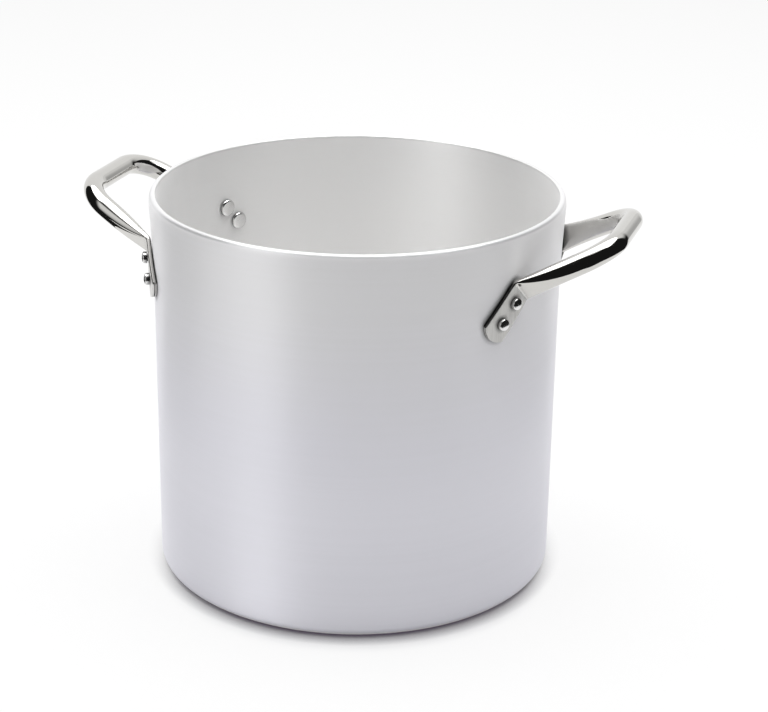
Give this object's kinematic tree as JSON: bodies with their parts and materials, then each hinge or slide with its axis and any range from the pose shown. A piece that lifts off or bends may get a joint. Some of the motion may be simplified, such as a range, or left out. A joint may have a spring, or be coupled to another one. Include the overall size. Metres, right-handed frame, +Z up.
{
  "type": "cooking pot",
  "caption": "Tall straight-sided aluminium cooking pot with a flat base, a slightly flared rim and bent tube handles riveted to its sides.",
  "frame": {"origin": "middle of the flat base, on the surface the pot stands on", "axes": "+Z up along the pot's round axis, +X out through the middle of one handle, -X through the other"},
  "size_m": [0.3942, 0.2906, 0.275],
  "materials": {
    "pot_aluminium": "satin, turned",
    "handle_steel": "polished stainless steel",
    "rivet_aluminium": "bright, pressed"
  },
  "bodies": {
    "root": {"pot_body": "pot_aluminium", "right_handle": "handle_steel", "left_handle": "handle_steel", "right_front_upper_rivet": "rivet_aluminium", "right_front_lower_rivet": "rivet_aluminium", "right_back_upper_rivet": "rivet_aluminium", "right_back_lower_rivet": "rivet_aluminium", "left_front_upper_rivet": "rivet_aluminium", "left_front_lower_rivet": "rivet_aluminium", "left_back_upper_rivet": "rivet_aluminium", "left_back_lower_rivet": "rivet_aluminium"}
  },
  "joints": []
}
